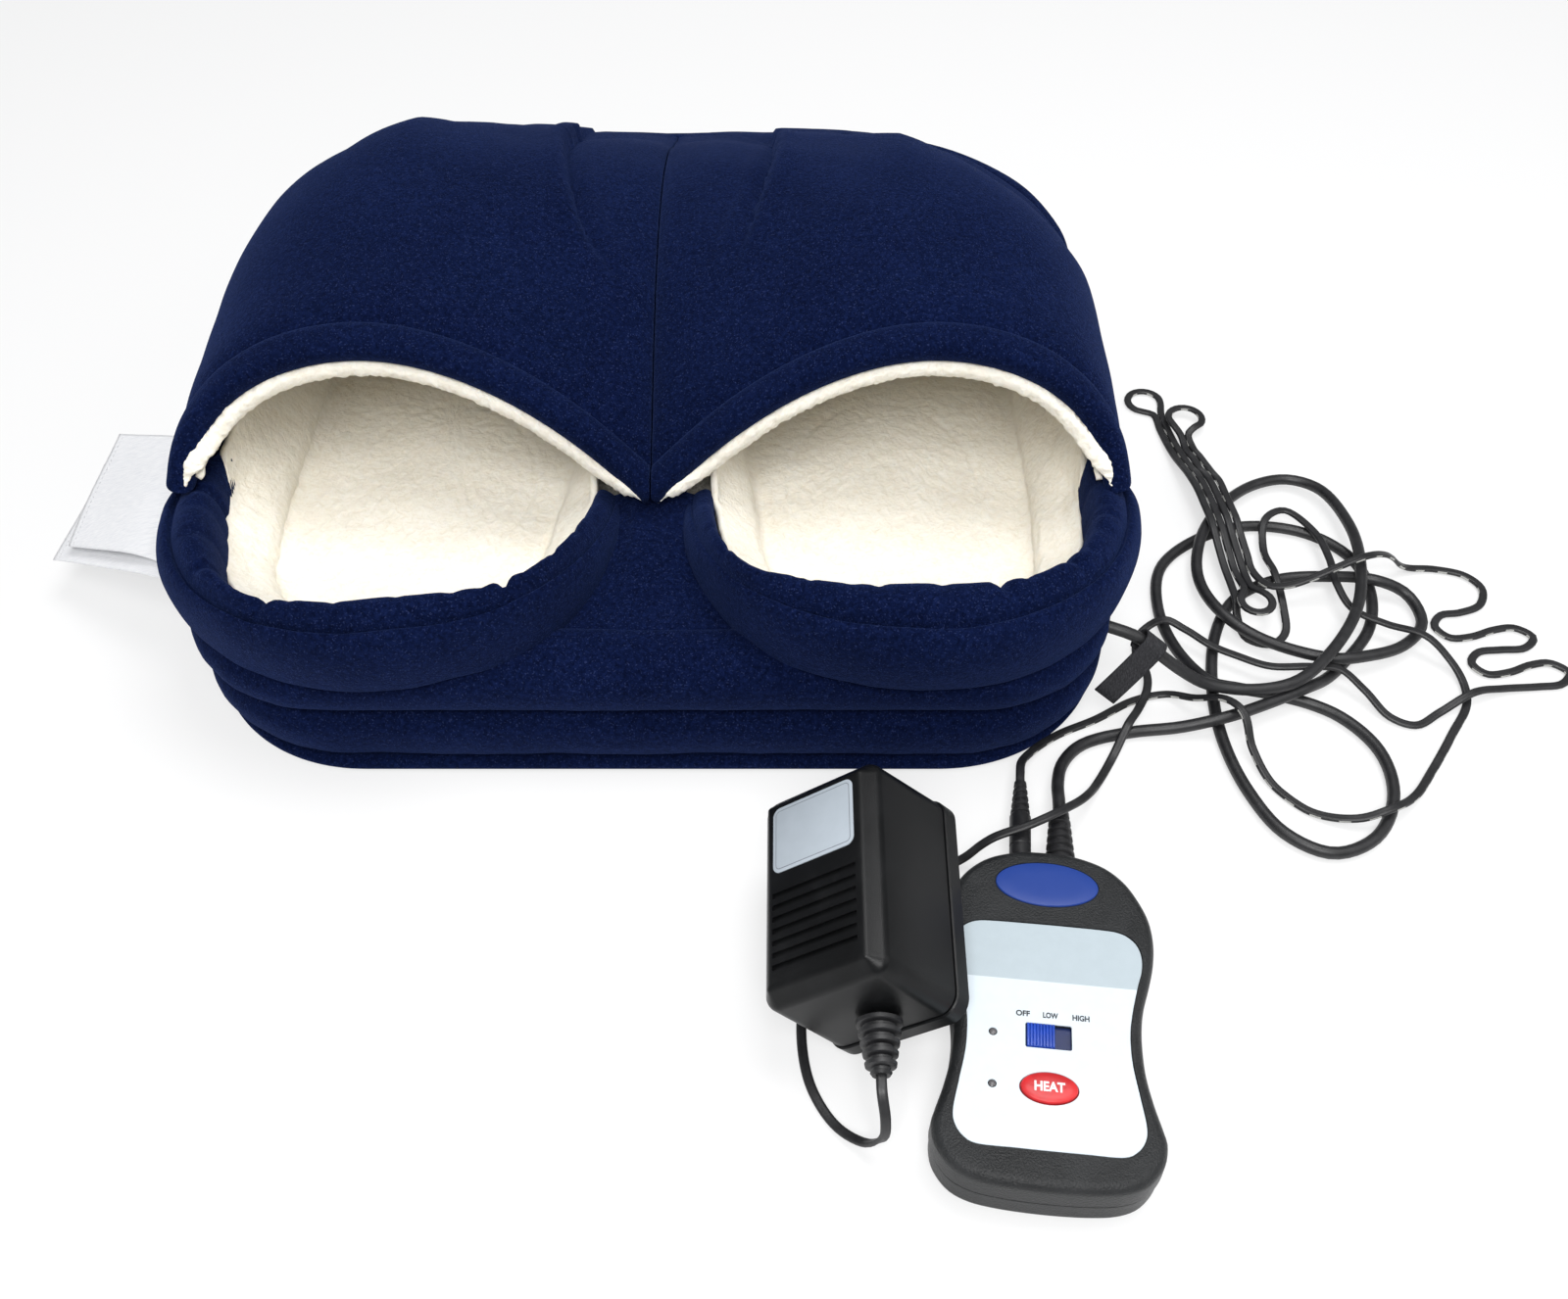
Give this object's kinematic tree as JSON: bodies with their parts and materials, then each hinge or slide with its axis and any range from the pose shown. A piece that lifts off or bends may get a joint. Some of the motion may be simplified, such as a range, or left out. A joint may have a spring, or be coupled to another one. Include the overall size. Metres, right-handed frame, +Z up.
{
  "type": "heated foot massager",
  "caption": "Padded two-foot warmer with a hood, wired slide-switch controller, plug-in adapter and hanked supply lead.",
  "frame": {"origin": "centre of the warmer's flat underside, on the floor, halfway between its sides and between its heel and toe ends", "axes": "+Z up, +Y toward the toes and the hood's closed end, +X toward the side that the cable leaves, where the controller and adapter lie"},
  "size_m": [0.6365, 0.5128, 0.1491],
  "materials": {
    "navy_fleece": "brushed fleece",
    "cream_sherpa": "curly pile",
    "anti_slip_cloth": "dotted non-slip cloth",
    "foam": "open-cell foam",
    "heater_film": "film",
    "capsule_plastic": "moulded",
    "motor_steel": "plated",
    "weight_brass": "satin",
    "white_satin": "satin ribbon",
    "keeper_ribbon": "woven ribbon",
    "harness_cover": "matte",
    "black_shell": "fine texture",
    "white_face": "printed film",
    "blue_plastic": "satin",
    "red_button": "satin",
    "red_lens": "clear red",
    "board": "solder mask",
    "jack_plastic": "moulded",
    "cord_rubber": "satin",
    "adapter_shell": "satin",
    "blank_label": "printed paper",
    "nickel": "plated",
    "core_steel": "laminated"
  },
  "bodies": {
    "warmer": {"bottom_panel": "anti_slip_cloth", "foam_core": "foam", "lower_band": "navy_fleece", "upper_band": "navy_fleece", "rear_wall": "navy_fleece", "centre_gusset": "navy_fleece", "centre_divider": "navy_fleece", "left_heel_lip": "navy_fleece", "right_heel_lip": "navy_fleece", "left_sole_pad": "cream_sherpa", "right_sole_pad": "cream_sherpa", "left_well_wall": "cream_sherpa", "right_well_wall": "cream_sherpa", "left_hood_lining": "cream_sherpa", "right_hood_lining": "cream_sherpa", "left_hood": "navy_fleece", "right_hood": "navy_fleece", "left_hem_band": "navy_fleece", "right_hem_band": "navy_fleece", "left_sherpa_binding": "cream_sherpa", "right_sherpa_binding": "cream_sherpa", "left_heater_pad": "heater_film", "right_heater_pad": "heater_film", "left_motor_capsule": "capsule_plastic", "right_motor_capsule": "capsule_plastic", "left_capsule_lid": "capsule_plastic", "right_capsule_lid": "capsule_plastic", "left_motor": "motor_steel", "right_motor": "motor_steel", "upper_care_tag": "white_satin", "lower_care_tag": "white_satin", "cord_keeper": "keeper_ribbon", "wiring_harness": "harness_cover", "controller_bottom_shell": "black_shell", "controller_top_shell": "black_shell", "faceplate": "white_face", "badge": "blue_plastic", "switch_body": "black_shell", "power_indicator_lens": "red_lens", "heat_indicator_lens": "red_lens", "circuit_board": "board", "dc_jack": "jack_plastic", "cable_boot": "cord_rubber", "adapter_case": "adapter_shell", "adapter_back": "adapter_shell", "rating_label": "blank_label", "left_prong": "nickel", "right_prong": "nickel", "transformer_core": "core_steel", "adapter_strain_relief": "cord_rubber", "heater_cable": "cord_rubber", "supply_lead_plug_end": "cord_rubber", "supply_lead_hank": "cord_rubber", "supply_lead_adapter_end": "cord_rubber"},
    "left_rotor": {"left_eccentric_weight": "weight_brass"},
    "right_rotor": {"right_eccentric_weight": "weight_brass"},
    "switch": {"switch_knob": "blue_plastic"},
    "button": {"heat_button": "red_button"},
    "supply_plug": {"dc_plug": "cord_rubber"}
  },
  "joints": [
    {"name": "left_motor_spin", "type": "hinge", "parent": "warmer", "child": "left_rotor", "pos_m": [-0.0828, -0.015, 0.01554], "axis": [1, 0, 0], "continuous": true},
    {"name": "right_motor_spin", "type": "hinge", "parent": "warmer", "child": "right_rotor", "pos_m": [0.1032, -0.015, 0.01554], "axis": [1, 0, 0], "continuous": true},
    {"name": "switch_slide", "type": "slide", "parent": "warmer", "child": "switch", "axis": [0.9945, -0.1045, 0], "range_m": [0, 0.0051]},
    {"name": "heat_press", "type": "slide", "parent": "warmer", "child": "button", "axis": [0, 0, -1], "range_m": [0, 0.0015], "stiffness_N_per_m": 600, "springref_m": -0.001},
    {"name": "dc_plug_pull", "type": "slide", "parent": "warmer", "child": "supply_plug", "axis": [0.1045, 0.9945, 0], "range_m": [0, 0.0136], "deforming": ["supply_lead_plug_end"]}
  ]
}
